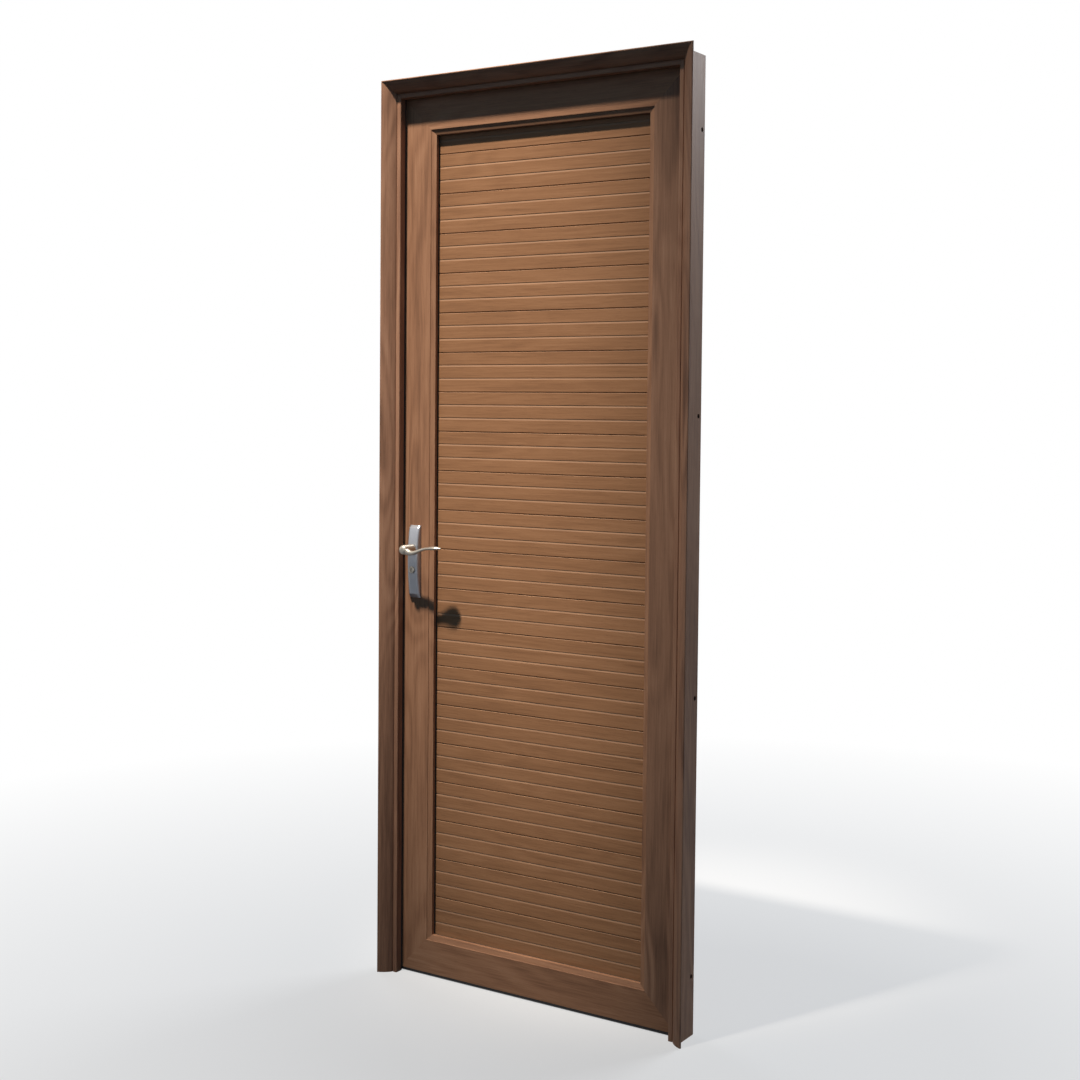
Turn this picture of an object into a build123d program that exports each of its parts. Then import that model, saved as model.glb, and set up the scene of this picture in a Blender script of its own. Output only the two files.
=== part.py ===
"""Aluminium swing door in its three-sided frame, millimetres.

The origin lies on the side face of the hinge jamb that is fixed to the wall, at floor level
and mid depth. The sloping front face of the frame overhangs that side as a cover flange.
+Z is up, +X points from the lock jamb to the hinge jamb and the leaf opens towards +Y.
"""

import os
from math import ceil

from build123d import *

os.makedirs("parts", exist_ok=True)

# Outer frame
FRAME_WIDTH = 815
FRAME_HEIGHT = 2100
WALL = 2
FLANGE_OVERHANG = 14
FLANGE_EDGE = 5
FLANGE_ROOT = 14

# Frame profile, measured inwards from its outer side and backwards from its front
SIGHTLINE = 41.5
REBATE_WIDTH = 27.5
NOSE_RADIUS = 2
FACE_BULGE = 2.6
LIP_WIDTH = 9.5
LIP_SETBACK = 23
GROOVE_WIDTH = 3
GROOVE_DEPTH = 2
LIP_ROUNDING = 1.2

# Leaf and its running gaps
LEAF_THICKNESS = 38
LEAF_SETBACK = 46
BACK_REVEAL = 2
SIDE_GAP = 7
HEAD_GAP = 9.5
FLOOR_GAP = 8
STOP_GAP = 5.3
PROFILE_WIDTH = 79
PROFILE_ROUNDING = 0.8

# Glazing beads and the gasket behind them
BEAD_WIDTH = 12
BEAD_STEP = 1.5
BEAD_BEVEL = 3.5
GASKET_THICKNESS = 4
GASKET_INSET = 0.6

# Plank infill
PLANK_PITCH = 91.6
PLANK_THICKNESS = 10
PLANK_SETBACK = 17
PLANK_GAP = 0.8
PLANK_END_GAP = 2
PLANK_COVER = 2.7
STRIPS_PER_PLANK = 3
FALSE_GROOVE_DEPTH = 1
FALSE_GROOVE_HEIGHT = 5
LOWER_EDGE_CHAMFER = 1.8
UPPER_EDGE_CHAMFER = 0.6
TONGUE_LENGTH = 6
TONGUE_THICKNESS = 3
TONGUE_CLEARANCE = 0.25

# Seals
STOP_GASKET_WIDTH = 4
STOP_GASKET_EDGE = 1
SOFT_GAP = 0.3
SEAL_HEIGHT = 6
SEAL_FIN_HEIGHT = 3.5
SEAL_FIN_WIDTH = 6

# Handle set
SPINDLE_HEIGHT = 1011
BACKSET = 40.5
SPINDLE_SIDE = 8
SPINDLE_HOLE_RADIUS = 7
SPINDLE_SOCKET = 10
SOCKET_CLEARANCE = 0.2
PLATE_WIDTH = 31
PLATE_ABOVE = 55
PLATE_BELOW = 115
PLATE_END_THICKNESS = 8.5
PLATE_BOW = 7
PLATE_TOE = 9
PLATE_TOE_THICKNESS = 2
PLATE_ROUNDING = 1.5
NECK_RADIUS = 11.5
NECK_REACH = 54
NECK_ROUNDING = 8
JOURNAL_RADIUS = 8
RUNNING_CLEARANCE = 0.1
END_CLEARANCE = 0.4
LEVER_OFFSET = 46

# Lever sections: reach from the spindle axis, rise, height and depth
LEVER_SECTIONS = [
    (2, -0.5, 21, 12),
    (12, -4.5, 15, 11),
    (24, -6, 10.5, 10),
    (42, -1, 9, 10),
    (63, 5.5, 7, 13),
    (82, 8, 9, 19),
    (98, 8.6, 8, 16),
    (108, 9, 3, 5),
]

# Lock
CYLINDER_DROP = 49
CYLINDER_RADIUS = 8
CYLINDER_PROUD = 2.5
CYLINDER_CLEARANCE = 0.3
CYLINDER_CHAMFER = 0.8
KEYWAY_WIDTH = 2.2
KEYWAY_HEIGHT = 9
KEYWAY_DEPTH = 6
FACEPLATE_WIDTH = 20
FACEPLATE_HEIGHT = 220
FACEPLATE_THICKNESS = 3
CASE_DEPTH = 60
CASE_HEIGHT = 165
CASE_THICKNESS = 15
BOLT_POCKET = 1
LATCH_SIZE = (12, 18)
DEADBOLT_SIZE = (10, 32)
FIT_CLEARANCE = 0.2
STRIKE_WIDTH = 24
STRIKE_HEIGHT = 170
STRIKE_ROUNDING = 3
BOLT_PLAY = 2

# Hinges
HINGE_COUNT = 3
HINGE_LENGTH = 100
HINGE_END_DISTANCE = 220
HINGE_PLATE = 3
HINGE_PLATE_REACH = 30
KNUCKLE_RADIUS = 7
KNUCKLE_GAP = 0.6
KNUCKLE_SHARE = 0.4
HINGE_PIN_RADIUS = 4
PIN_SETBACK = 8

# Wall fixings through the jambs
FIXING_COUNT = 4
FIXING_PITCH = 600
FIXING_FIRST = 130
FIXING_EDGE = 12
FIXING_RADIUS = 5

# Derived places
FRAME_DEPTH = LEAF_SETBACK + LEAF_THICKNESS + BACK_REVEAL
HINGE_SIDE = FLANGE_OVERHANG
LOCK_SIDE = HINGE_SIDE - FRAME_WIDTH
FRAME_FRONT = -FRAME_DEPTH / 2
FRAME_BACK = FRAME_DEPTH / 2
LEAF_FRONT = FRAME_FRONT + LEAF_SETBACK
LEAF_BACK = LEAF_FRONT + LEAF_THICKNESS
LEAF_MIDDLE = LEAF_FRONT + LEAF_THICKNESS / 2
STOP_BACK = LEAF_FRONT - STOP_GAP
LEAF_LEFT = LOCK_SIDE + REBATE_WIDTH + SIDE_GAP
LEAF_RIGHT = HINGE_SIDE - REBATE_WIDTH - SIDE_GAP
LEAF_TOP = FRAME_HEIGHT - REBATE_WIDTH - HEAD_GAP
LEAF_BOTTOM = FLOOR_GAP
LEAF_WIDTH = LEAF_RIGHT - LEAF_LEFT
LEAF_HEIGHT = LEAF_TOP - LEAF_BOTTOM
SPINDLE_X = LEAF_LEFT + BACKSET
CYLINDER_HEIGHT = SPINDLE_HEIGHT - CYLINDER_DROP
LOCK_HEIGHT = (SPINDLE_HEIGHT + CYLINDER_HEIGHT) / 2
PIN_X = HINGE_SIDE - REBATE_WIDTH - SIDE_GAP / 2
PIN_Y = FRAME_BACK + PIN_SETBACK
FIXING_Y = FRAME_BACK - FIXING_EDGE

UP = Vector(0, 0, 1)
RIGHT = Vector(1, 0, 0)


def save(piece, name):
    """Label a finished piece and write its file."""
    piece.part.label = name
    export_step(piece.part, f"parts/{name}.step")


def bar(section, corner, along, inward, length, mitre_start=True, mitre_end=True):
    """A profile drawn as (inward, backward) run along one side, with mitred ends."""
    with BuildPart() as piece:
        with BuildSketch(Plane(origin=corner, x_dir=inward, z_dir=along)):
            add(section)
        extrude(amount=length)
        if mitre_start:
            split(bisect_by=Plane(origin=corner, z_dir=along - inward), keep=Keep.TOP)
        if mitre_end:
            end = corner + along * length
            split(bisect_by=Plane(origin=end, z_dir=-along - inward), keep=Keep.TOP)
    return piece


def four_sides(inset):
    """Corner, direction, inward direction and length of each side of the leaf, inset alike."""
    left, right = LEAF_LEFT + inset, LEAF_RIGHT - inset
    bottom, top = LEAF_BOTTOM + inset, LEAF_TOP - inset
    return {
        "lock": (Vector(left, LEAF_FRONT, bottom), UP, RIGHT, top - bottom),
        "top": (Vector(left, LEAF_FRONT, top), RIGHT, -UP, right - left),
        "hinge": (Vector(right, LEAF_FRONT, top), -UP, -RIGHT, top - bottom),
        "bottom": (Vector(right, LEAF_FRONT, bottom), -RIGHT, UP, right - left),
    }


def frame_section():
    """Hollow jamb profile: bowed face, shadow groove, flat lip, stop and rebate."""
    face_end = SIGHTLINE - LIP_WIDTH - GROOVE_WIDTH
    face_setback = LIP_SETBACK - GROOVE_DEPTH
    stop_setback = LEAF_SETBACK - STOP_GAP
    groove_bottom = LIP_SETBACK + GROOVE_DEPTH
    with BuildSketch() as section:
        with BuildLine():
            face = SagittaArc((0, 0), (face_end, face_setback), -FACE_BULGE)
            Polyline(
                face @ 1,
                (face_end + GROOVE_WIDTH / 3, groove_bottom),
                (face_end + GROOVE_WIDTH * 2 / 3, groove_bottom),
                (face_end + GROOVE_WIDTH, LIP_SETBACK),
                (SIGHTLINE - LIP_ROUNDING, LIP_SETBACK),
                (SIGHTLINE, LIP_SETBACK + LIP_ROUNDING),
                (SIGHTLINE, stop_setback),
                (REBATE_WIDTH, stop_setback),
                (REBATE_WIDTH, FRAME_DEPTH),
                (FLANGE_OVERHANG, FRAME_DEPTH),
                (FLANGE_OVERHANG, FLANGE_ROOT),
                (0, FLANGE_EDGE),
                face @ 0,
            )
        make_face()
        fillet(section.vertices().sort_by_distance((0, 0))[0], NOSE_RADIUS)
        chamber_front = groove_bottom + WALL
        with Locations((FLANGE_OVERHANG + WALL, chamber_front)):
            Rectangle(
                REBATE_WIDTH - FLANGE_OVERHANG - 2 * WALL,
                FRAME_DEPTH - WALL - chamber_front,
                align=Align.MIN,
                mode=Mode.SUBTRACT,
            )
        with Locations((REBATE_WIDTH, chamber_front)):
            Rectangle(
                SIGHTLINE - WALL - REBATE_WIDTH,
                stop_setback - WALL - chamber_front,
                align=Align.MIN,
                mode=Mode.SUBTRACT,
            )
    return section.sketch


def leaf_section():
    """Hollow leaf profile with a back flange that carries the infill."""
    flange_front = PLANK_SETBACK + PLANK_THICKNESS
    flange_end = PROFILE_WIDTH + BEAD_WIDTH
    with BuildSketch() as section:
        with BuildLine():
            Polyline(
                (0, 0),
                (PROFILE_WIDTH, 0),
                (PROFILE_WIDTH, flange_front),
                (flange_end, flange_front),
                (flange_end, LEAF_THICKNESS),
                (0, LEAF_THICKNESS),
                close=True,
            )
        make_face()
        fillet(section.vertices().group_by(Axis.Y)[0], PROFILE_ROUNDING)
        with Locations((WALL, WALL)):
            Rectangle(
                PROFILE_WIDTH - 2 * WALL,
                LEAF_THICKNESS - 2 * WALL,
                align=Align.MIN,
                mode=Mode.SUBTRACT,
            )
    return section.sketch


def bead_section():
    """Snap-in bead: a step down from the leaf face, a bevel and a deep inner side."""
    back = PLANK_SETBACK - GASKET_THICKNESS
    inner_corner = (BEAD_WIDTH, BEAD_STEP + BEAD_BEVEL)
    with BuildSketch() as section:
        with BuildLine():
            Polyline(
                (0, BEAD_STEP),
                inner_corner,
                (BEAD_WIDTH, back),
                (0, back),
                close=True,
            )
        make_face()
        fillet(section.vertices().sort_by_distance(inner_corner)[0], PROFILE_ROUNDING)
    return section.sketch


def plank_section(height, topmost):
    """One tongue and groove plank drawn as (backward, upward) from its lower face edge."""
    strip = PLANK_PITCH / STRIPS_PER_PLANK
    middle = PLANK_THICKNESS / 2
    upper_side = FALSE_GROOVE_HEIGHT / 2
    grooves = [index * strip for index in range(1, STRIPS_PER_PLANK)]
    with BuildSketch() as section:
        Rectangle(PLANK_THICKNESS, height, align=Align.MIN)
        chamfer(section.vertices().sort_by_distance((0, 0))[0], LOWER_EDGE_CHAMFER)
        if not topmost:
            chamfer(section.vertices().sort_by_distance((0, height))[0], UPPER_EDGE_CHAMFER)
        with Locations((middle, 0)):
            Rectangle(TONGUE_THICKNESS, TONGUE_LENGTH, align=(Align.CENTER, Align.MAX))
        for groove in grooves:
            if groove + FALSE_GROOVE_HEIGHT < height:
                Polygon(
                    (0, groove + upper_side),
                    (FALSE_GROOVE_DEPTH, groove + upper_side),
                    (0, groove - upper_side),
                    align=None,
                    mode=Mode.SUBTRACT,
                )
        if not topmost:
            with Locations((middle, height)):
                Rectangle(
                    TONGUE_THICKNESS + 2 * TONGUE_CLEARANCE,
                    TONGUE_LENGTH + 2 * TONGUE_CLEARANCE,
                    align=(Align.CENTER, Align.MAX),
                    mode=Mode.SUBTRACT,
                )
    return section.sketch


def fixing_holes(side):
    """Through holes for the wall anchors, made in the open part of one jamb."""
    heights = [FIXING_FIRST + index * FIXING_PITCH for index in range(FIXING_COUNT)]
    with Locations(*[Plane((side, FIXING_Y, z), z_dir=(1, 0, 0)) for z in heights]):
        Cylinder(FIXING_RADIUS, 2 * SIGHTLINE, mode=Mode.SUBTRACT)


def make_frame():
    """Head and two jambs, mitred at the top corners, jambs standing on the floor."""
    section = frame_section()
    head = bar(section, Vector(LOCK_SIDE, FRAME_FRONT, FRAME_HEIGHT), RIGHT, -UP, FRAME_WIDTH)
    save(head, "frame_head")
    lock_corner = Vector(LOCK_SIDE, FRAME_FRONT, 0)
    lock_bar = bar(section, lock_corner, UP, RIGHT, FRAME_HEIGHT, mitre_start=False)
    with BuildPart() as lock_jamb:
        add(lock_bar.part)
        fixing_holes(LOCK_SIDE)
        with Locations((LOCK_SIDE + REBATE_WIDTH, LEAF_MIDDLE, LOCK_HEIGHT)):
            Box(
                2 * WALL + 2 * FIT_CLEARANCE,
                STRIKE_WIDTH + 2 * FIT_CLEARANCE,
                STRIKE_HEIGHT + 2 * FIT_CLEARANCE,
                mode=Mode.SUBTRACT,
            )
    save(lock_jamb, "frame_jamb_lock")
    hinge_corner = Vector(HINGE_SIDE, FRAME_FRONT, FRAME_HEIGHT)
    hinge_bar = bar(section, hinge_corner, -UP, -RIGHT, FRAME_HEIGHT, mitre_end=False)
    with BuildPart() as hinge_jamb:
        add(hinge_bar.part)
        fixing_holes(HINGE_SIDE)
    save(hinge_jamb, "frame_jamb_hinge")


def make_strike():
    """Strike plate let into the lock jamb's rebate, with a hole for each bolt."""
    with BuildPart() as strike:
        with BuildSketch(Plane(
            origin=(LOCK_SIDE + REBATE_WIDTH, LEAF_MIDDLE, LOCK_HEIGHT),
            x_dir=(0, 1, 0),
            z_dir=(1, 0, 0),
        )):
            RectangleRounded(STRIKE_WIDTH, STRIKE_HEIGHT, STRIKE_ROUNDING)
            for height, size in ((SPINDLE_HEIGHT, LATCH_SIZE), (CYLINDER_HEIGHT, DEADBOLT_SIZE)):
                width, length = (extent + 2 * BOLT_PLAY for extent in size)
                with Locations((0, height - LOCK_HEIGHT)):
                    Rectangle(width, length, mode=Mode.SUBTRACT)
        extrude(amount=-WALL)
    save(strike, "strike_plate")


def make_stop_gasket():
    """Black seal along the back of the stop, round both jambs and the head."""
    outer = SIGHTLINE - STOP_GASKET_EDGE - STOP_GASKET_WIDTH
    inner = SIGHTLINE - STOP_GASKET_EDGE
    with BuildPart() as gasket:
        with BuildSketch(Plane(origin=(0, STOP_BACK, 0), x_dir=(1, 0, 0), z_dir=(0, 1, 0))):
            with BuildLine():
                Polyline(
                    (LOCK_SIDE + outer, 0),
                    (LOCK_SIDE + outer, -FRAME_HEIGHT + outer),
                    (HINGE_SIDE - outer, -FRAME_HEIGHT + outer),
                    (HINGE_SIDE - outer, 0),
                    (HINGE_SIDE - inner, 0),
                    (HINGE_SIDE - inner, -FRAME_HEIGHT + inner),
                    (LOCK_SIDE + inner, -FRAME_HEIGHT + inner),
                    (LOCK_SIDE + inner, 0),
                    close=True,
                )
            make_face()
        extrude(amount=STOP_GAP - SOFT_GAP)
    save(gasket, "stop_gasket")


def make_leaf_frame():
    """Two stiles and two rails, mitred, the lock stile cut for spindle, cylinder and lock."""
    section = leaf_section()
    sides = four_sides(0)
    save(bar(section, *sides["top"]), "leaf_rail_top")
    save(bar(section, *sides["bottom"]), "leaf_rail_bottom")
    save(bar(section, *sides["hinge"]), "leaf_stile_hinge")
    lock_bar = bar(section, *sides["lock"])
    with BuildPart() as stile:
        add(lock_bar.part)
        with Locations(Plane((SPINDLE_X, LEAF_MIDDLE, SPINDLE_HEIGHT), z_dir=(0, 1, 0))):
            Cylinder(SPINDLE_HOLE_RADIUS, 2 * LEAF_THICKNESS, mode=Mode.SUBTRACT)
        with Locations(Plane((SPINDLE_X, LEAF_MIDDLE, CYLINDER_HEIGHT), z_dir=(0, 1, 0))):
            hole = CYLINDER_RADIUS + CYLINDER_CLEARANCE
            Cylinder(hole, 2 * LEAF_THICKNESS, mode=Mode.SUBTRACT)
        with Locations((LEAF_LEFT, LEAF_MIDDLE, LOCK_HEIGHT)):
            Box(
                2 * FACEPLATE_THICKNESS,
                FACEPLATE_WIDTH + 2 * FIT_CLEARANCE,
                FACEPLATE_HEIGHT + 2 * FIT_CLEARANCE,
                mode=Mode.SUBTRACT,
            )
    save(stile, "leaf_stile_lock")


def make_beads():
    """Four mitred beads round the infill."""
    section = bead_section()
    for side, place in four_sides(PROFILE_WIDTH).items():
        save(bar(section, *place), f"bead_{side}")


def make_infill_gasket():
    """Black ring between the beads and the planks."""
    width = LEAF_WIDTH - 2 * PROFILE_WIDTH
    height = LEAF_HEIGHT - 2 * PROFILE_WIDTH
    ring = BEAD_WIDTH - GASKET_INSET
    centre = ((LEAF_LEFT + LEAF_RIGHT) / 2, LEAF_FRONT + PLANK_SETBACK, (LEAF_TOP + LEAF_BOTTOM) / 2)
    with BuildPart() as gasket:
        with BuildSketch(Plane(origin=centre, x_dir=(1, 0, 0), z_dir=(0, -1, 0))):
            Rectangle(width, height)
            Rectangle(width - 2 * ring, height - 2 * ring, mode=Mode.SUBTRACT)
        extrude(amount=GASKET_THICKNESS)
    save(gasket, "infill_gasket")


def make_planks():
    """Tongue and groove planks from the bottom bead up, the topmost one cut to fit."""
    left = LEAF_LEFT + PROFILE_WIDTH + PLANK_END_GAP
    right = LEAF_RIGHT - PROFILE_WIDTH - PLANK_END_GAP
    start = LEAF_BOTTOM + PROFILE_WIDTH + BEAD_WIDTH - PLANK_COVER
    end = LEAF_TOP - PROFILE_WIDTH - PLANK_END_GAP
    count = ceil((end - start) / PLANK_PITCH)
    for index in range(count):
        lower = start + index * PLANK_PITCH
        topmost = index == count - 1
        height = end - lower if topmost else PLANK_PITCH - PLANK_GAP
        corner = (left, LEAF_FRONT + PLANK_SETBACK, lower)
        with BuildPart() as plank:
            with BuildSketch(Plane(origin=corner, x_dir=(0, 1, 0), z_dir=(1, 0, 0))):
                add(plank_section(height, topmost))
            extrude(amount=right - left)
        save(plank, f"plank_{index + 1:02d}")


def make_bottom_seal():
    """Black rubber seal under the leaf, with two fins towards the floor."""
    depth = LEAF_THICKNESS - 2 * PROFILE_ROUNDING
    with BuildPart() as seal:
        middle = (LEAF_LEFT, LEAF_MIDDLE, LEAF_BOTTOM)
        with BuildSketch(Plane(origin=middle, x_dir=(0, 1, 0), z_dir=(1, 0, 0))):
            Rectangle(depth, SEAL_HEIGHT - SEAL_FIN_HEIGHT, align=(Align.CENTER, Align.MAX))
            side = depth / 2 - SEAL_FIN_WIDTH / 2
            with Locations((-side, 0), (side, 0)):
                Rectangle(SEAL_FIN_WIDTH, SEAL_HEIGHT, align=(Align.CENTER, Align.MAX))
        extrude(amount=LEAF_WIDTH)
    save(seal, "bottom_seal")


def make_escutcheon(outside):
    """Bowed handle plate with a bearing for the lever and a hole for the cylinder."""
    face = LEAF_FRONT if outside else LEAF_BACK
    out = -1 if outside else 1
    top = SPINDLE_HEIGHT + PLATE_ABOVE
    bottom = SPINDLE_HEIGHT - PLATE_BELOW
    middle = (top + bottom) / 2
    end = face + out * PLATE_END_THICKNESS
    bow = end + out * PLATE_BOW
    with BuildPart() as plate:
        corner = (SPINDLE_X - PLATE_WIDTH / 2, 0, 0)
        with BuildSketch(Plane(origin=corner, x_dir=(0, 1, 0), z_dir=(1, 0, 0))):
            with BuildLine():
                front = ThreePointArc((end, top), (bow, middle), (end, bottom + PLATE_TOE))
                toe = (face + out * PLATE_TOE_THICKNESS, bottom)
                Polyline(front @ 1, toe, (face, bottom), (face, top), front @ 0)
            make_face()
        extrude(amount=PLATE_WIDTH)
        rim = plate.faces().sort_by(Axis.Y)[0 if outside else -1]
        fillet(rim.edges(), PLATE_ROUNDING)
        with Locations(Plane((SPINDLE_X, face, SPINDLE_HEIGHT), z_dir=(0, 1, 0))):
            Cylinder(JOURNAL_RADIUS + RUNNING_CLEARANCE, LEAF_THICKNESS, mode=Mode.SUBTRACT)
        with Locations(Plane((SPINDLE_X, face, CYLINDER_HEIGHT), z_dir=(0, 1, 0))):
            hole = CYLINDER_RADIUS + CYLINDER_CLEARANCE
            Cylinder(hole, LEAF_THICKNESS, mode=Mode.SUBTRACT)
    save(plate, "escutcheon_outside" if outside else "escutcheon_inside")


def make_lever(outside):
    """Waved lever on a round neck, its journal turning in the handle plate."""
    face = LEAF_FRONT if outside else LEAF_BACK
    out = -1 if outside else 1
    front = face + out * NECK_REACH
    seat = face + out * (PLATE_END_THICKNESS + PLATE_BOW + END_CLEARANCE)
    axis = (SPINDLE_X, face, SPINDLE_HEIGHT)
    with BuildPart() as lever:
        with BuildSketch(Plane(origin=(SPINDLE_X, seat, SPINDLE_HEIGHT), z_dir=(0, out, 0))):
            Circle(NECK_RADIUS)
        extrude(amount=abs(front - seat))
        nose = lever.faces().sort_by(Axis.Y)[0 if outside else -1]
        fillet(nose.edges(), NECK_ROUNDING)
        with BuildSketch(Plane(origin=axis, z_dir=(0, out, 0))):
            Circle(JOURNAL_RADIUS)
        extrude(amount=abs(seat - face) + END_CLEARANCE)
        for reach, rise, height, depth in LEVER_SECTIONS:
            middle = (SPINDLE_X + reach, face + out * LEVER_OFFSET, SPINDLE_HEIGHT + rise)
            with BuildSketch(Plane(origin=middle, x_dir=(0, 1, 0), z_dir=(1, 0, 0))):
                Ellipse(depth / 2, height / 2)
        loft()
        socket = SPINDLE_SIDE + 2 * SOCKET_CLEARANCE
        with Locations(axis):
            Box(socket, 2 * SPINDLE_SOCKET, socket, mode=Mode.SUBTRACT)
    save(lever, "lever_outside" if outside else "lever_inside")


def make_spindle():
    """Square bar that joins the two levers through the lock."""
    length = LEAF_THICKNESS + 2 * (SPINDLE_SOCKET - SOCKET_CLEARANCE)
    with BuildPart() as spindle:
        with Locations((SPINDLE_X, LEAF_MIDDLE, SPINDLE_HEIGHT)):
            Box(SPINDLE_SIDE, length, SPINDLE_SIDE)
    save(spindle, "spindle")


def make_cylinder():
    """Round lock cylinder through the leaf, with a keyway at each end."""
    reach = PLATE_END_THICKNESS + PLATE_BOW + CYLINDER_PROUD
    length = LEAF_THICKNESS + 2 * reach
    with BuildPart() as cylinder:
        with Locations(Plane((SPINDLE_X, LEAF_MIDDLE, CYLINDER_HEIGHT), z_dir=(0, 1, 0))):
            Cylinder(CYLINDER_RADIUS, length)
        chamfer(cylinder.edges().filter_by(GeomType.CIRCLE), CYLINDER_CHAMFER)
        for end in (LEAF_FRONT - reach, LEAF_BACK + reach):
            with Locations((SPINDLE_X, end, CYLINDER_HEIGHT)):
                Box(KEYWAY_WIDTH, 2 * KEYWAY_DEPTH, KEYWAY_HEIGHT, mode=Mode.SUBTRACT)
    save(cylinder, "lock_cylinder")


def make_lock():
    """Mortise lock in the stile: faceplate flush with its edge and the case behind."""
    with BuildPart() as lock:
        with Locations((LEAF_LEFT, LEAF_MIDDLE, LOCK_HEIGHT)):
            Box(
                FACEPLATE_THICKNESS,
                FACEPLATE_WIDTH,
                FACEPLATE_HEIGHT,
                align=(Align.MIN, Align.CENTER, Align.CENTER),
            )
            Box(
                CASE_DEPTH,
                CASE_THICKNESS,
                CASE_HEIGHT,
                align=(Align.MIN, Align.CENTER, Align.CENTER),
            )
        with Locations((LEAF_LEFT, LEAF_MIDDLE, SPINDLE_HEIGHT)):
            Box(2 * BOLT_POCKET, *LATCH_SIZE, mode=Mode.SUBTRACT)
        with Locations((LEAF_LEFT, LEAF_MIDDLE, CYLINDER_HEIGHT)):
            Box(2 * BOLT_POCKET, *DEADBOLT_SIZE, mode=Mode.SUBTRACT)
        with Locations(Plane((SPINDLE_X, LEAF_MIDDLE, SPINDLE_HEIGHT), z_dir=(0, 1, 0))):
            Cylinder(SPINDLE_HOLE_RADIUS, 2 * CASE_THICKNESS, mode=Mode.SUBTRACT)
        with Locations(Plane((SPINDLE_X, LEAF_MIDDLE, CYLINDER_HEIGHT), z_dir=(0, 1, 0))):
            hole = CYLINDER_RADIUS + CYLINDER_CLEARANCE
            Cylinder(hole, 2 * CASE_THICKNESS, mode=Mode.SUBTRACT)
    save(lock, "mortise_lock")


def hinge_heights():
    """Middle heights of the hinges, spread evenly between the end ones."""
    low = LEAF_BOTTOM + HINGE_END_DISTANCE
    step = (LEAF_HEIGHT - 2 * HINGE_END_DISTANCE) / (HINGE_COUNT - 1)
    return [low + index * step for index in range(HINGE_COUNT)]


def hinge_half(side, fixed):
    """One half of every hinge: plates on the jamb or the leaf edge, with their knuckles."""
    middle_knuckle = HINGE_LENGTH * KNUCKLE_SHARE
    end_knuckle = (HINGE_LENGTH - middle_knuckle) / 2 - KNUCKLE_GAP
    end_offset = (HINGE_LENGTH - end_knuckle) / 2
    knuckles = [(-end_offset, end_knuckle), (end_offset, end_knuckle)] if fixed else [(0, middle_knuckle)]
    plate_x = side + (-HINGE_PLATE / 2 if fixed else HINGE_PLATE / 2)
    with BuildPart() as half:
        for height in hinge_heights():
            with Locations((plate_x, FRAME_BACK, height)):
                Box(
                    HINGE_PLATE,
                    HINGE_PLATE_REACH,
                    HINGE_LENGTH,
                    align=(Align.CENTER, Align.MAX, Align.CENTER),
                )
            for offset, length in knuckles:
                with Locations((plate_x, FRAME_BACK, height + offset)):
                    Box(
                        HINGE_PLATE,
                        PIN_Y - FRAME_BACK,
                        length,
                        align=(Align.CENTER, Align.MIN, Align.CENTER),
                    )
                with Locations((PIN_X, PIN_Y, height + offset)):
                    Cylinder(KNUCKLE_RADIUS, length)
            with Locations((PIN_X, PIN_Y, height)):
                if fixed:
                    Cylinder(HINGE_PIN_RADIUS, HINGE_LENGTH)
                else:
                    bore = HINGE_PIN_RADIUS + RUNNING_CLEARANCE
                    Cylinder(bore, HINGE_LENGTH, mode=Mode.SUBTRACT)
    return half


def make_hinges():
    """Butt hinges behind the hinge stile, in two halves."""
    save(hinge_half(HINGE_SIDE - REBATE_WIDTH, True), "hinge_jamb_halves")
    save(hinge_half(LEAF_RIGHT, False), "hinge_leaf_halves")


make_frame()
make_strike()
make_stop_gasket()
make_leaf_frame()
make_beads()
make_infill_gasket()
make_planks()
make_bottom_seal()
make_lock()
make_cylinder()
make_spindle()
for outside in (True, False):
    make_escutcheon(outside)
    make_lever(outside)
make_hinges()
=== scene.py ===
"""Looks of the aluminium swing door: wood-grain foil, satin nickel, rubber, light and camera."""

import math

import bmesh
import bpy
from mathutils import Matrix, Vector


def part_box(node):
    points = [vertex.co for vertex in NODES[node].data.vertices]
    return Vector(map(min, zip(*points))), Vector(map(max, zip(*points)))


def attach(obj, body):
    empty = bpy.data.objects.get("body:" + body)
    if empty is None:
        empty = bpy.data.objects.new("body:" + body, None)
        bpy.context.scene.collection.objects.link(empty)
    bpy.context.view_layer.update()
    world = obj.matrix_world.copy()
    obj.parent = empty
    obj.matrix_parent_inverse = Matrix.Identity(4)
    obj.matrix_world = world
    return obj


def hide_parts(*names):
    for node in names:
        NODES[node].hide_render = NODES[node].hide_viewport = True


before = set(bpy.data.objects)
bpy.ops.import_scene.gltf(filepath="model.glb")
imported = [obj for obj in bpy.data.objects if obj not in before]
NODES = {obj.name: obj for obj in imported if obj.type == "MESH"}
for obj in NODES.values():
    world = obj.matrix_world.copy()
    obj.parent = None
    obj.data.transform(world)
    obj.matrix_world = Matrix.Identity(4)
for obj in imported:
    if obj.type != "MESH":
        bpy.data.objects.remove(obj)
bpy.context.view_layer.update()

# Camera of the photograph, in the row frame
IMAGE_SIDE = 1080
FOCAL_PIXELS = 1605.6
SENSOR = 36.0
CAMERA_PLACE = Vector((1.5688, -2.9949, 1.3499))
YAW = math.radians(33.02)
PITCH = math.radians(-2.42)
ROLL = math.radians(0.51)
PRINCIPAL_RISE = 66.8

# Key light, in metres and watts: its place follows from the shadows in the photograph
KEY_PLACE = (-1.1, -2.5, 7.5)
KEY_TARGET = (-0.4, 0.0, 1.1)
KEY_COLOR = (1.0, 0.92, 0.82)
KEY_SIZE = 0.30
KEY_POWER = 175.0
SPOT_RADIUS = 0.14
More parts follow.
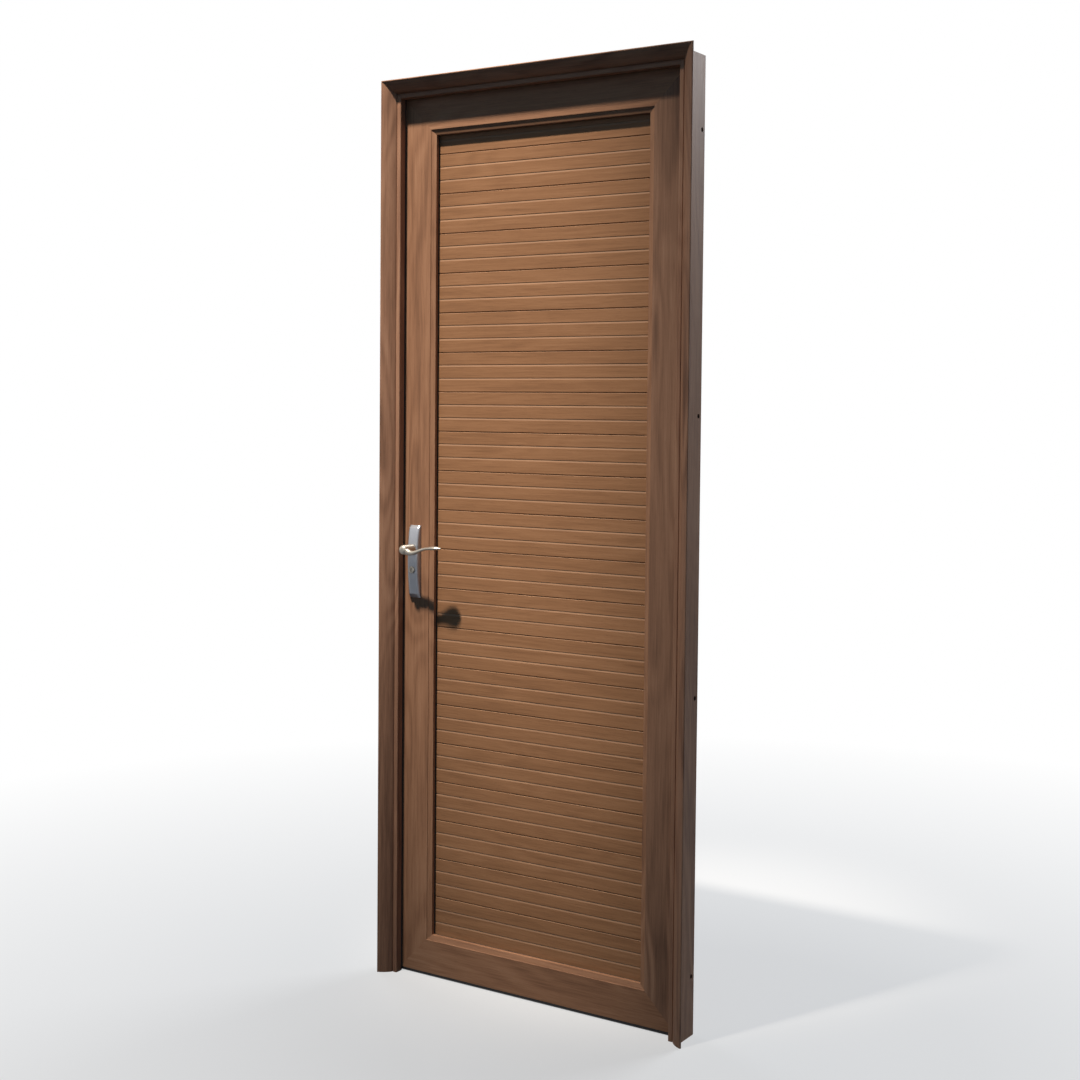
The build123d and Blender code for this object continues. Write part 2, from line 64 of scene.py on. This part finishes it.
# Spots at the key's place, which brighten the middle: name, target, power and cone in degrees
SPOTS = (
    ("key_upper", (-0.56, 0.0, 1.62), 3600.0, 11.7),
    ("key_lower", (-0.511, 0.0, 0.520), 1050.0, 8.0),
)

# Lamps for the sides that the photograph doesn't show: name, place, target, size and power
FILL_COLOR = (0.95, 0.97, 1.0)
FILLS = (
    ("back", (1.2, 4.5, 4.2), (-0.4, 0.0, 1.0), 2.5, 260.0),
    ("lock_side", (-4.6, 1.9, 2.4), (-0.8, 0.0, 1.0), 2.0, 70.0),
)

# Weak cool light from all round
SKY_COLOR = (0.15, 0.55, 1.0)
SKY_STRENGTH = 0.19
WHITE = (1.0, 1.0, 1.0)

# Floor: it fades to white between two distances, and its gloss and bounce stay weak
FLOOR_HALF = 30.0
FLOOR_SEEN = (0.42, 0.42, 0.42)
FLOOR_BOUNCE = (0.02, 0.02, 0.02)
FLOOR_GLOSS = 0.12
FLOOR_ROUGHNESS = 0.9
FLOOR_FADE = (0.6, 3.2, 0.5, 1.0)

# Wood-grain foil: per layer of noise, stretch across and along the grain, detail, roughness and distortion
GRAIN = {
    "broad": (9.0, 1.6, 1.0, 0.4, 0.5),
    "patches": (11.0, 2.2, 2.0, 0.5, 0.0),
    "streaks": (140.0, 5.0, 3.0, 0.6, 0.4),
    "fibres": (620.0, 14.0, 3.0, 0.65, 0.0),
    "pores": (1100.0, 40.0, 2.0, 0.5, 0.0),
}
AXIS_OFFSET = 1.7
PATCH_OFFSET = 5.0
PATCH_SPAN = (0.40, 0.62, 0.15, 1.0)
PORE_SPAN = (0.60, 0.70)
NOISE_SPAN = (0.3, 0.7)
CENTRED = (-0.5, 0.5)
RING_TURNS = 70.0
RING_SHARE = 0.5
BROAD_SHARE = 0.8
FIBRE_SHARE = 0.25
PORE_DARKNESS = 0.35
PORE_RELIEF = -0.6
FOIL_BUMP = (0.00035, 0.35)
FOIL_ROUGHNESS = (0.40, 0.52)
FOIL_SPECULAR = 0.16
MIDDLE = 0.5

# Foil tones: dark, middle and light
FRAME_TONES = ((0.140, 0.070, 0.043), (0.310, 0.160, 0.096), (0.420, 0.232, 0.144))
LEAF_TONES = ((0.130, 0.060, 0.034), (0.295, 0.147, 0.081), (0.410, 0.220, 0.128))
HINGE_STILE_TONES = ((0.115, 0.060, 0.038), (0.250, 0.132, 0.080), (0.350, 0.195, 0.122))
PLANK_TONES = ((0.152, 0.071, 0.034), (0.283, 0.138, 0.066), (0.374, 0.194, 0.100))

# Each profile: direction of its grain, tones, place on the foil and strength of the rings
PROFILES = {
    "frame_jamb_lock": ("z", FRAME_TONES, 3.3, 0.45),
    "frame_jamb_hinge": ("z", FRAME_TONES, 4.0, 0.50),
    "frame_head": ("x", FRAME_TONES, 2.0, 0.40),
    "leaf_stile_lock": ("z", LEAF_TONES, 7.0, 0.28),
    "leaf_stile_hinge": ("z", HINGE_STILE_TONES, 11.0, 0.62),
    "leaf_rail_top": ("x", LEAF_TONES, 5.0, 0.28),
    "leaf_rail_bottom": ("x", LEAF_TONES, 9.0, 0.28),
    "bead_lock": ("z", LEAF_TONES, 14.0, 0.20),
    "bead_hinge": ("z", LEAF_TONES, 17.0, 0.20),
    "bead_top": ("x", LEAF_TONES, 15.0, 0.20),
    "bead_bottom": ("x", LEAF_TONES, 19.0, 0.20),
}
PROFILE_STREAK = 0.30
PROFILE_EDGE = (0.0005, 2, 30.0)
WELD_DISTANCE = 1e-5

# Planks: each takes its own stretch of foil, and the upward faces of its grooves get a painted highlight, a
# paler cream tone that stands in for the light falling on them from above
PLANK_PITCH = 0.0916
PLANK_TONGUE = 0.006
PLANK_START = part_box("plank_02")[0][2] + PLANK_TONGUE
PLANK_SHIFT = 40.0
PLANK_FIGURE = 0.14
PLANK_STREAK = 0.26
HIGHLIGHT_TONE = (0.80, 0.68, 0.56)
HIGHLIGHT_UPWARD = (0.10, 0.18)
HIGHLIGHT_SHARE = 0.07

# Brushed metal: lines per metre, their length against their width, and the smudges
BRUSH_LINES = 900.0
BRUSH_LENGTH = 30.0
BRUSH_OFFSET = 0.3
BRUSH_NOISE = (1.0, 2.0, 0.6)
BRUSH_BUMP = (0.00006, 0.25)
BRUSH_ROUGHNESS = 0.10
SMUDGE_NOISE = (38.0, 3.0, 0.6)
SMUDGE_DARKNESS = 0.86
SMUDGE_ROUGHNESS = 0.08

# Lacquer on the hinges
LACQUER_CLOUDS = (45.0, 4.0, 0.6)
LACQUER_GRAIN = (1500.0, 2.0)
LACQUER_BUMP = (0.00008, 0.3)
LACQUER_DARKNESS = 0.75
LACQUER_SPREAD = (-0.05, 0.08)
LACQUER_METALLIC = 0.35

# Rubber
RUBBER_DUST = (60.0, 4.0, 0.6)
RUBBER_STOPS = [(0.3, (0.008, 0.008, 0.009)), (0.75, (0.022, 0.022, 0.023))]
RUBBER_GRAIN = (2500.0, 2.0)
RUBBER_BUMP = (0.0001, 0.3)
RUBBER_ROUGHNESS = (0.55, 0.75)
RUBBER_SPECULAR = 0.35

# Handle plate, in metres, as in the CAD, with a chamfered top and rounded sides
PLATE_ABOVE = 0.055
PLATE_END = 0.0085
PLATE_BOW = 0.007
PLATE_TOE = 0.009
PLATE_TOE_END = 0.002
PLATE_TOP_CHAMFER = 0.006
PLATE_ROWS = 24
PLATE_SIDE_INSET = 0.0055
PLATE_SIDE_SHARE = 0.8
PLATE_SIDE_STEPS = 6
PLATE_EDGE = (0.0005, 3, 25.0)
JOURNAL_HOLE = 0.0081
CYLINDER_DROP = 0.049
CYLINDER_HOLE = 0.0083
DRILL_SEGMENTS = 64
DRILL_LENGTH = 0.3
QUARTER_TURN = math.radians(90.0)

# Screws: radius and rise of the heads, in metres, and their cross, in shares of the head
PLATE_SCREW = (0.0038, 0.0006)
HINGE_SCREW = (0.0036, 0.0003)
SCREW_EDGE = 0.010
SCREW_STEPS = 11
SCREW_DOME = 3
CROSS_HALF_WIDTH = 0.13
CROSS_REACH = 0.55
CROSS_DEPTH = 0.85

# Hinges: heights, thickness of their plates, face on the jamb, and each plate's screws
HINGE_HEIGHTS = (0.228, 1.0355, 1.843)
HINGE_PLATE = 0.003
HINGE_JAMB_FACE = -0.0165
HINGE_SCREW_SPOTS = ((0.008, -0.038), (0.021, -0.014), (0.021, 0.014), (0.008, 0.038))

# Numbers of the sockets of a colour mix node
MIX_FACTOR, MIX_FIRST, MIX_SECOND, MIX_RESULT = 0, 6, 7, 2


class Shader:
    """A material's node tree, with short calls for the nodes that are used here."""

    def __init__(self, name):
        self.material = bpy.data.materials.new(name)
        self.material.use_nodes = True
        self.tree = self.material.node_tree
        self.nodes = self.tree.nodes
        self.surface = self.nodes["Principled BSDF"]

    def link(self, source, target):
        self.tree.links.new(source, target)

    def put(self, socket, value):
        """Sets an input to a constant, or links it if the value is an output."""
        if isinstance(value, bpy.types.NodeSocket):
            self.link(value, socket)
        else:
            socket.default_value = value

    def math(self, operation, *values):
        node = self.nodes.new("ShaderNodeMath")
        node.operation = operation
        for socket, value in zip(node.inputs, values):
            self.put(socket, value)
        return node.outputs[0]

    def place(self):
        return self.nodes.new("ShaderNodeTexCoord").outputs["Object"]

    def normal(self):
        return self.nodes.new("ShaderNodeNewGeometry").outputs["Normal"]

    def parts(self, vector):
        node = self.nodes.new("ShaderNodeSeparateXYZ")
        self.link(vector, node.inputs[0])
        return node.outputs

    def join(self, *values):
        node = self.nodes.new("ShaderNodeCombineXYZ")
        for socket, value in zip(node.inputs, values):
            self.put(socket, value)
        return node.outputs[0]

    def noise(self, vector, scale, detail, roughness=0.5, distortion=0.0):
        node = self.nodes.new("ShaderNodeTexNoise")
        self.link(vector, node.inputs["Vector"])
        node.inputs["Scale"].default_value = scale
        node.inputs["Detail"].default_value = detail
        node.inputs["Roughness"].default_value = roughness
        node.inputs["Distortion"].default_value = distortion
        return node.outputs["Fac"]

    def chance(self, value):
        """A fixed random number for each whole value."""
        node = self.nodes.new("ShaderNodeTexWhiteNoise")
        node.noise_dimensions = "1D"
        self.put(node.inputs["W"], value)
        return node.outputs["Value"]

    def span(self, value, low, high, new_low=0.0, new_high=1.0):
        node = self.nodes.new("ShaderNodeMapRange")
        self.put(node.inputs["Value"], value)
        numbers = {"From Min": low, "From Max": high, "To Min": new_low, "To Max": new_high}
        for name, number in numbers.items():
            node.inputs[name].default_value = number
        return node.outputs["Result"]

    def ramp(self, value, stops):
        node = self.nodes.new("ShaderNodeValToRGB")
        self.put(node.inputs["Fac"], value)
        elements = node.color_ramp.elements
        while len(elements) < len(stops):
            elements.new(MIDDLE)
        for element, (position, color) in zip(elements, stops):
            element.position = position
            element.color = (*color, 1.0)
        return node.outputs["Color"]

    def mix(self, factor, first, second):
        node = self.nodes.new("ShaderNodeMix")
        node.data_type = "RGBA"
        for index, value in ((MIX_FACTOR, factor), (MIX_FIRST, first), (MIX_SECOND, second)):
            self.put(node.inputs[index], value)
        return node.outputs[MIX_RESULT]

    def bump(self, height, distance, strength):
        node = self.nodes.new("ShaderNodeBump")
        node.inputs["Strength"].default_value = strength
        node.inputs["Distance"].default_value = distance
        self.link(height, node.inputs["Height"])
        self.link(node.outputs["Normal"], self.surface.inputs["Normal"])

    def set(self, values):
        """Fills the surface's inputs and hands back the material."""
        for name, value in values.items():
            self.put(self.surface.inputs[name], value)
        return self.material


def stretched(shader, axis, offset, across, along, shift=0.0):
    """Object coordinates pulled long along one axis, moved so that pieces differ."""
    scales = [across, across, across]
    scales["xyz".index(axis)] = along
    coordinates = []
    for index, value in enumerate(shader.parts(shader.place())):
        moved = offset * (index + AXIS_OFFSET)
        scaled = shader.math("MULTIPLY_ADD", value, scales[index], moved)
        coordinates.append(shader.math("ADD", scaled, shift) if shift else scaled)
    return shader.join(*coordinates)


def grain(shader, layer, axis, offset, shift):
    """One layer of the foil's noise, pulled long along the grain."""
    across, along, *quality = GRAIN[layer]
    return shader.noise(stretched(shader, axis, offset, across, along, shift), 1.0, *quality)


def growth_rings(shader, broad, axis, offset, shift):
    """Waves that follow the broad noise, stronger in some patches than in others."""
    rings = shader.math("SINE", shader.math("MULTIPLY", broad, RING_TURNS))
    patches = grain(shader, "patches", axis, offset + PATCH_OFFSET, shift)
    return shader.math("MULTIPLY", rings, shader.span(patches, *PATCH_SPAN))


def foil(name, axis, offset, tones, figure, streak, shift=None, highlight_share=0.0):
    """Printed wood-grain foil: growth rings, long streaks and short dark pores along one axis."""
    shader = Shader(name)
    shift = shift(shader) if shift else 0.0
    broad = grain(shader, "broad", axis, offset, shift)
    rings = growth_rings(shader, broad, axis, offset, shift)
    streaks = grain(shader, "streaks", axis, offset, shift)
    fibres = grain(shader, "fibres", axis, offset, shift)
    pores = shader.span(grain(shader, "pores", axis, offset, shift), *PORE_SPAN)
    value = shader.math("MULTIPLY_ADD", rings, RING_SHARE * figure, MIDDLE)
    for layer, share in ((broad, BROAD_SHARE * figure), (streaks, streak), (fibres, FIBRE_SHARE)):
        value = shader.math("MULTIPLY_ADD", shader.span(layer, *NOISE_SPAN, *CENTRED), share, value)
    dark, middle, light = tones
    color = shader.ramp(value, [(0.0, dark), (MIDDLE, middle), (1.0, light)])
    color = shader.mix(shader.math("MULTIPLY", pores, PORE_DARKNESS), color, (*dark, 1.0))
    # Painted highlight: faces that turn upwards are mixed towards a pale cream, as if lit from above
    if highlight_share:
        upward = shader.parts(shader.normal())[2]
        painted_highlight = shader.span(upward, *HIGHLIGHT_UPWARD, 0.0, highlight_share)
        color = shader.mix(painted_highlight, color, (*HIGHLIGHT_TONE, 1.0))
    shader.bump(shader.math("MULTIPLY_ADD", pores, PORE_RELIEF, fibres), *FOIL_BUMP)
    return shader.set({
        "Base Color": color,
        "Roughness": shader.span(fibres, *NOISE_SPAN, *FOIL_ROUGHNESS),
        "Specular IOR Level": FOIL_SPECULAR,
    })


def plank_shift(shader):
    """A different stretch of foil for every plank."""
    height = shader.parts(shader.place())[2]
    rows = shader.math("DIVIDE", shader.math("SUBTRACT", height, PLANK_START), PLANK_PITCH)
    return shader.math("MULTIPLY", shader.chance(shader.math("FLOOR", rows)), PLANK_SHIFT)


def rubber():
    """Black sealing rubber, dull and slightly dusty."""
    shader = Shader("black_rubber")
    dust = shader.noise(shader.place(), *RUBBER_DUST)
    shader.bump(shader.noise(shader.place(), *RUBBER_GRAIN), *RUBBER_BUMP)
    return shader.set({
        "Base Color": shader.ramp(dust, RUBBER_STOPS),
        "Roughness": shader.span(dust, *NOISE_SPAN, *RUBBER_ROUGHNESS),
        "Specular IOR Level": RUBBER_SPECULAR,
    })


def clouded(shader, noise, color, darkness):
    """A colour that is darker in the noise's low patches."""
    low, high = NOISE_SPAN
    return shader.ramp(noise, [(low, tuple(darkness * value for value in color)), (high, color)])


def metal(name, color, roughness, metallic, axis):
    """Brushed metal with fine lines along one axis and slight smudges."""
    shader = Shader(name)
    place = stretched(shader, axis, BRUSH_OFFSET, BRUSH_LINES, BRUSH_LINES / BRUSH_LENGTH)
    lines = shader.noise(place, *BRUSH_NOISE)
    smudges = shader.noise(shader.place(), *SMUDGE_NOISE)
    shader.bump(lines, *BRUSH_BUMP)
    brushed = shader.math("MULTIPLY_ADD", lines, BRUSH_ROUGHNESS, roughness - BRUSH_ROUGHNESS / 2)
    return shader.set({
        "Base Color": clouded(shader, smudges, color, SMUDGE_DARKNESS),
        "Metallic": metallic,
        "Roughness": shader.math("MULTIPLY_ADD", smudges, SMUDGE_ROUGHNESS, brushed),
    })


def lacquer(name, color, roughness):
    """Dark lacquer on small steel fittings."""
    shader = Shader(name)
    clouds = shader.noise(shader.place(), *LACQUER_CLOUDS)
    shader.bump(shader.noise(shader.place(), *LACQUER_GRAIN), *LACQUER_BUMP)
    rough = [roughness + spread for spread in LACQUER_SPREAD]
    return shader.set({
        "Base Color": clouded(shader, clouds, color, LACQUER_DARKNESS),
        "Roughness": shader.span(clouds, *NOISE_SPAN, *rough),
        "Metallic": LACQUER_METALLIC,
    })


RUBBER = rubber()
NICKEL = metal("satin_nickel", (0.42, 0.43, 0.465), 0.32, 0.80, "z")
LEVER = metal("satin_nickel_lever", (0.50, 0.45, 0.38), 0.30, 0.85, "x")
ZINC = metal("zinc_plate", (0.55, 0.56, 0.57), 0.36, 1.0, "z")
BRONZE = lacquer("dark_bronze_lacquer", (0.060, 0.040, 0.030), 0.42)
FITTINGS = (
    (RUBBER, ("stop_gasket", "infill_gasket", "bottom_seal")),
    (NICKEL, ("escutcheon_outside", "escutcheon_inside")),
    (LEVER, ("lever_outside", "lever_inside", "lock_cylinder")),
    (ZINC, ("spindle", "strike_plate", "mortise_lock")),
    (BRONZE, ("hinge_jamb_halves", "hinge_leaf_halves")),
)


def clothe(node, material):
    for material_slot in NODES[node].material_slots:
        material_slot.material = material


def round_edges(piece, width, segments, angle):
    """Breaks the edges that are sharper than an angle in degrees, and keeps flat faces flat."""
    bevel = piece.modifiers.new("edges", "BEVEL")
    bevel.width = width
    bevel.segments = segments
    bevel.limit_method = "ANGLE"
    bevel.angle_limit = math.radians(angle)
    bevel.use_clamp_overlap = True
    flatten = piece.modifiers.new("flat_faces", "WEIGHTED_NORMAL")
    flatten.mode = "FACE_AREA"
    flatten.weight = 100


def dress_nodes():
    """Gives every CAD piece its material, and the profiles broken edges, which show their mitres."""
    for node, (axis, tones, offset, figure) in PROFILES.items():
        clothe(node, foil(f"foil_{node}", axis, offset, tones, figure, PROFILE_STREAK))
        weld = NODES[node].modifiers.new("weld", "WELD")
        weld.merge_threshold = WELD_DISTANCE
        round_edges(NODES[node], *PROFILE_EDGE)
    planks = foil("foil_planks", "x", 0.0, PLANK_TONES, PLANK_FIGURE, PLANK_STREAK, plank_shift, HIGHLIGHT_SHARE)
    for node in NODES:
        if node.startswith("plank_"):
            clothe(node, planks)
    for material, nodes in FITTINGS:
        for node in nodes:
            clothe(node, material)


def piece_from(name, material, body, slot, build, *values):
    """An object of the scene's own, built by a function into a fresh mesh, riding on a body."""
    shape = bmesh.new()
    build(shape, *values)
    mesh = bpy.data.meshes.new(name)
    shape.to_mesh(mesh)
    shape.free()
    mesh.materials.append(material)
    piece = bpy.data.objects.new(name, mesh)
    bpy.context.scene.collection.objects.link(piece)
    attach(piece, body)
    return piece


def plate_reach(height, top, bottom):
    """How far the handle plate stands out at a height: sloping toe, bowed front, chamfered top."""
    middle, toe = (top + bottom) / 2, bottom + PLATE_TOE
    bow = PLATE_BOW * (top - height) * (height - toe) / ((top - middle) * (middle - toe))
    slope = (PLATE_END - PLATE_TOE_END) * (height - bottom) / PLATE_TOE
    front = PLATE_END + bow if height > toe else PLATE_TOE_END + slope
    return min(front, PLATE_END + top - height - PLATE_TOP_CHAMFER)


def plate_heights(low, high):
    """Heights of the plate's rows: both ends, the toe, the chamfer and even steps between."""
    toe, chamfer = low + PLATE_TOE, high - PLATE_TOP_CHAMFER
    steps = [toe + (chamfer - toe) * index / PLATE_ROWS for index in range(1, PLATE_ROWS)]
    return sorted([low, toe, chamfer, high] + steps)


def plate_row(half, reach):
    """Outline of the plate at one height: flat on the leaf and rounded at both sides."""
    right = [(half, 0.0)]
    for index in range(PLATE_SIDE_STEPS + 1):
        turn = QUARTER_TURN * index / PLATE_SIDE_STEPS
        right.append((half - PLATE_SIDE_INSET * (1 - math.cos(turn)),
                      reach * (1 - PLATE_SIDE_SHARE * (1 - math.sin(turn)))))
    return right + [(-x, y) for x, y in reversed(right)]


def build_plate(shape, box, outside):
    """Handle plate with rounded sides, on the side of the leaf that it belongs to."""
    low, high = (Vector(corner) for corner in box)
    face, out = (high.y, -1.0) if outside else (low.y, 1.0)
    middle, half = (low.x + high.x) / 2, (high.x - low.x) / 2
    rows = []
    for height in plate_heights(low.z, high.z):
        corners = plate_row(half, plate_reach(height, high.z, low.z))
        rows.append([shape.verts.new((middle + x, face + out * y, height)) for x, y in corners])
    for lower, upper in zip(rows, rows[1:]):
        for index in range(len(lower)):
            after = (index + 1) % len(lower)
            shape.faces.new((lower[index], lower[after], upper[after], upper[index]))
    shape.faces.new(rows[0])
    shape.faces.new(rows[-1])
    bmesh.ops.recalc_face_normals(shape, faces=shape.faces)


def make_cutter(place, radius):
    """A long round bar through the leaf."""
    turn = Matrix.Translation(place) @ Matrix.Rotation(QUARTER_TURN, 4, "X")
    shape = bmesh.new()
    bmesh.ops.create_cone(shape, cap_ends=True, segments=DRILL_SEGMENTS, radius1=radius, radius2=radius,
                          depth=DRILL_LENGTH, matrix=turn)
    mesh = bpy.data.meshes.new("drill")
    shape.to_mesh(mesh)
    shape.free()
    cutter = bpy.data.objects.new("drill", mesh)
    bpy.context.scene.collection.objects.link(cutter)
    return cutter


def drill(piece, place, radius):
    """Cuts a round hole through a piece, for good."""
    cutter = make_cutter(place, radius)
    cut = piece.modifiers.new("hole", "BOOLEAN")
    cut.object = cutter
    cut.solver = "EXACT"
    graph = bpy.context.evaluated_depsgraph_get()
    piece.data = bpy.data.meshes.new_from_object(piece.evaluated_get(graph))
    piece.modifiers.clear()
    mesh = cutter.data
    bpy.data.objects.remove(cutter)
    bpy.data.meshes.remove(mesh)


def make_plate(node, outside):
    """A handle plate with rounded sides and a chamfered top in place of the CAD plate."""
    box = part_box(node)
    low, high = (Vector(corner) for corner in box)
    plate = piece_from(f"{node}_rounded", NICKEL, "leaf", "satin_nickel", build_plate, box, outside)
    spindle = Vector(((low.x + high.x) / 2, low.y, high.z - PLATE_ABOVE))
    drill(plate, spindle, JOURNAL_HOLE)
    drill(plate, spindle - Vector((0.0, 0.0, CYLINDER_DROP)), CYLINDER_HOLE)
    plate.data.shade_smooth()
    round_edges(plate, *PLATE_EDGE)
    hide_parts(node)


def screw_point(i, j, radius, rise):
    """A point of a domed head with a cross recess, from a square grid bent into a disc."""
    u, v = i / SCREW_STEPS, j / SCREW_STEPS
    x, y = u * math.sqrt(1 - v * v / 2), v * math.sqrt(1 - u * u / 2)
    height = rise * (1 - (x * x + y * y) ** SCREW_DOME)
    if min(abs(x), abs(y)) < CROSS_HALF_WIDTH and max(abs(x), abs(y)) < CROSS_REACH:
        height -= CROSS_DEPTH * rise
    return Vector((x * radius, y * radius, height))


def build_screws(shape, places, direction, radius, rise):
    """Low domed screw heads that face one way."""
    turn = Vector(direction).to_track_quat("Z", "Y").to_matrix()
    grid = range(-SCREW_STEPS, SCREW_STEPS + 1)
    for place in places:
        rows = [[shape.verts.new(Vector(place) + turn @ screw_point(i, j, radius, rise)) for j in grid]
                for i in grid]
        for lower, upper in zip(rows, rows[1:]):
            for index in range(2 * SCREW_STEPS):
                shape.faces.new((lower[index], upper[index], upper[index + 1], lower[index + 1]))


def plate_screw_heights(node):
    """Heights of the two screws near the ends of an upright plate."""
    low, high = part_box(node)
    middle, reach = (low[2] + high[2]) / 2, (high[2] - low[2]) / 2 - SCREW_EDGE
    return middle - reach, middle + reach


def make_screws():
    """Screws of the faceplate, the strike plate and both halves of every hinge."""
    low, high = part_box("mortise_lock")
    depth = (low[1] + high[1]) / 2
    places = [(low[0], depth, height) for height in plate_screw_heights("mortise_lock")]
    piece_from("faceplate_screws", ZINC, "leaf", "steel", build_screws, places, (-1, 0, 0), *PLATE_SCREW)
    strike_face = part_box("strike_plate")[1][0]
    places = [(strike_face, depth, height) for height in plate_screw_heights("strike_plate")]
    piece_from("strike_screws", ZINC, "frame", "steel", build_screws, places, (1, 0, 0), *PLATE_SCREW)
    hinge_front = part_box("hinge_leaf_halves")[0][1]
    leaf_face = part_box("leaf_stile_hinge")[1][0] + HINGE_PLATE
    spots = [(hinge_front + inset, height + offset)
             for height in HINGE_HEIGHTS for inset, offset in HINGE_SCREW_SPOTS]
    for name, body, face, side in (("hinge_leaf_screws", "leaf", leaf_face, 1),
                                   ("hinge_jamb_screws", "frame", HINGE_JAMB_FACE, -1)):
        places = [(face, y, z) for y, z in spots]
        piece_from(name, BRONZE, body, "hinge_paint", build_screws, places, (side, 0, 0), *HINGE_SCREW)


def seen_rays(nodes, links, gloss=1.0):
    """One for rays from the camera or through a surface, a share for glossy rays, else zero."""
    path = nodes.new("ShaderNodeLightPath")
    share = nodes.new("ShaderNodeMath")
    share.operation = "MULTIPLY"
    share.inputs[1].default_value = gloss
    links.new(path.outputs["Is Glossy Ray"], share.inputs[0])
    seen = path.outputs["Is Camera Ray"]
    for ray in (share.outputs[0], path.outputs["Is Transmission Ray"]):
        most = nodes.new("ShaderNodeMath")
        most.operation = "MAXIMUM"
        links.new(seen, most.inputs[0])
        links.new(ray, most.inputs[1])
        seen = most.outputs[0]
    return seen


def make_camera():
    """The photograph's camera: its place, direction, roll, lens and frame."""
    forward = Vector((-math.sin(YAW) * math.cos(PITCH), math.cos(YAW) * math.cos(PITCH), math.sin(PITCH)))
    level = Vector((math.cos(YAW), math.sin(YAW), 0.0))
    upward = level.cross(forward)
    right = level * math.cos(ROLL) + upward * math.sin(ROLL)
    above = upward * math.cos(ROLL) - level * math.sin(ROLL)
    data = bpy.data.cameras.new("camera")
    data.sensor_fit = "HORIZONTAL"
    data.sensor_width = SENSOR
    data.lens = FOCAL_PIXELS / IMAGE_SIDE * SENSOR
    data.shift_y = -PRINCIPAL_RISE / IMAGE_SIDE
    camera = bpy.data.objects.new("camera", data)
    turn = Matrix((right, above, -forward)).transposed().to_4x4()
    camera.matrix_world = Matrix.Translation(CAMERA_PLACE) @ turn
    bpy.context.scene.collection.objects.link(camera)
    bpy.context.scene.camera = camera


def floor_material():
    """Pale floor that fades to white with the distance from the door."""
    shader = Shader("pale_floor")
    x, y = shader.parts(shader.place())[:2]
    squares = shader.math("ADD", shader.math("MULTIPLY", x, x), shader.math("MULTIPLY", y, y))
    fade = shader.span(shader.math("SQRT", squares), *FLOOR_FADE)
    white = shader.nodes.new("ShaderNodeEmission")
    mix = shader.nodes.new("ShaderNodeMixShader")
    seen = seen_rays(shader.nodes, shader.tree.links, FLOOR_GLOSS)
    shader.put(mix.inputs[0], shader.math("MULTIPLY", fade, seen))
    shader.put(mix.inputs[1], shader.surface.outputs[0])
    shader.put(mix.inputs[2], white.outputs[0])
    shader.put(shader.nodes["Material Output"].inputs["Surface"], mix.outputs[0])
    seen = seen_rays(shader.nodes, shader.tree.links)
    tone = shader.mix(seen, (*FLOOR_BOUNCE, 1.0), (*FLOOR_SEEN, 1.0))
    return shader.set({"Base Color": tone, "Roughness": FLOOR_ROUGHNESS})


def make_floor():
    """A wide pale floor under the door."""
    half = FLOOR_HALF
    corners = [(-half, -half, 0), (half, -half, 0), (half, half, 0), (-half, half, 0)]
    mesh = bpy.data.meshes.new("floor")
    mesh.from_pydata(corners, [], [(0, 1, 2, 3)])
    mesh.materials.append(floor_material())
    floor = bpy.data.objects.new("floor", mesh)
    bpy.context.scene.collection.objects.link(floor)


def aim(name, data, place, target):
    """Puts a lamp somewhere and turns it towards a point."""
    lamp = bpy.data.objects.new(name, data)
    place = Vector(place)
    turn = (Vector(target) - place).to_track_quat("-Z", "Y").to_matrix().to_4x4()
    lamp.matrix_world = Matrix.Translation(place) @ turn
    bpy.context.scene.collection.objects.link(lamp)


def make_area(name, place, target, size, power, color):
    """A square soft lamp."""
    data = bpy.data.lights.new(name, "AREA")
    data.shape = "SQUARE"
    data.size = size
    data.energy = power
    data.color = color
    aim(name, data, place, target)


def make_spot(name, target, power, cone):
    """A round soft lamp at the key's place, whose light fades from the middle of its cone outwards."""
    data = bpy.data.lights.new(name, "SPOT")
    data.shadow_soft_size = SPOT_RADIUS
    data.energy = power
    data.color = KEY_COLOR
    data.spot_size = math.radians(cone)
    data.spot_blend = 1.0
    aim(name, data, KEY_PLACE, target)


def make_lamps():
    """The key lamp with its spots, and a lamp each for the back and the lock side."""
    make_area("key", KEY_PLACE, KEY_TARGET, KEY_SIZE, KEY_POWER, KEY_COLOR)
    for name, target, power, cone in SPOTS:
        make_spot(name, target, power, cone)
    for name, place, target, size, power in FILLS:
        make_area(name, place, target, size, power, FILL_COLOR)


def make_world():
    """Weak cool light from all round, and a white background for the camera and for gloss."""
    world = bpy.data.worlds.new("world")
    bpy.context.scene.world = world
    world.use_nodes = True
    nodes, links = world.node_tree.nodes, world.node_tree.links
    light = nodes["Background"]
    light.inputs["Color"].default_value = (*SKY_COLOR, 1.0)
    light.inputs["Strength"].default_value = SKY_STRENGTH
    white = nodes.new("ShaderNodeBackground")
    white.inputs["Color"].default_value = (*WHITE, 1.0)
    mix = nodes.new("ShaderNodeMixShader")
    links.new(seen_rays(nodes, links), mix.inputs[0])
    links.new(light.outputs[0], mix.inputs[1])
    links.new(white.outputs[0], mix.inputs[2])
    links.new(mix.outputs[0], nodes["World Output"].inputs["Surface"])


dress_nodes()
make_plate("escutcheon_outside", True)
make_plate("escutcheon_inside", False)
make_screws()
make_camera()
make_floor()
make_lamps()
make_world()
bpy.context.scene.view_settings.view_transform = "Standard"
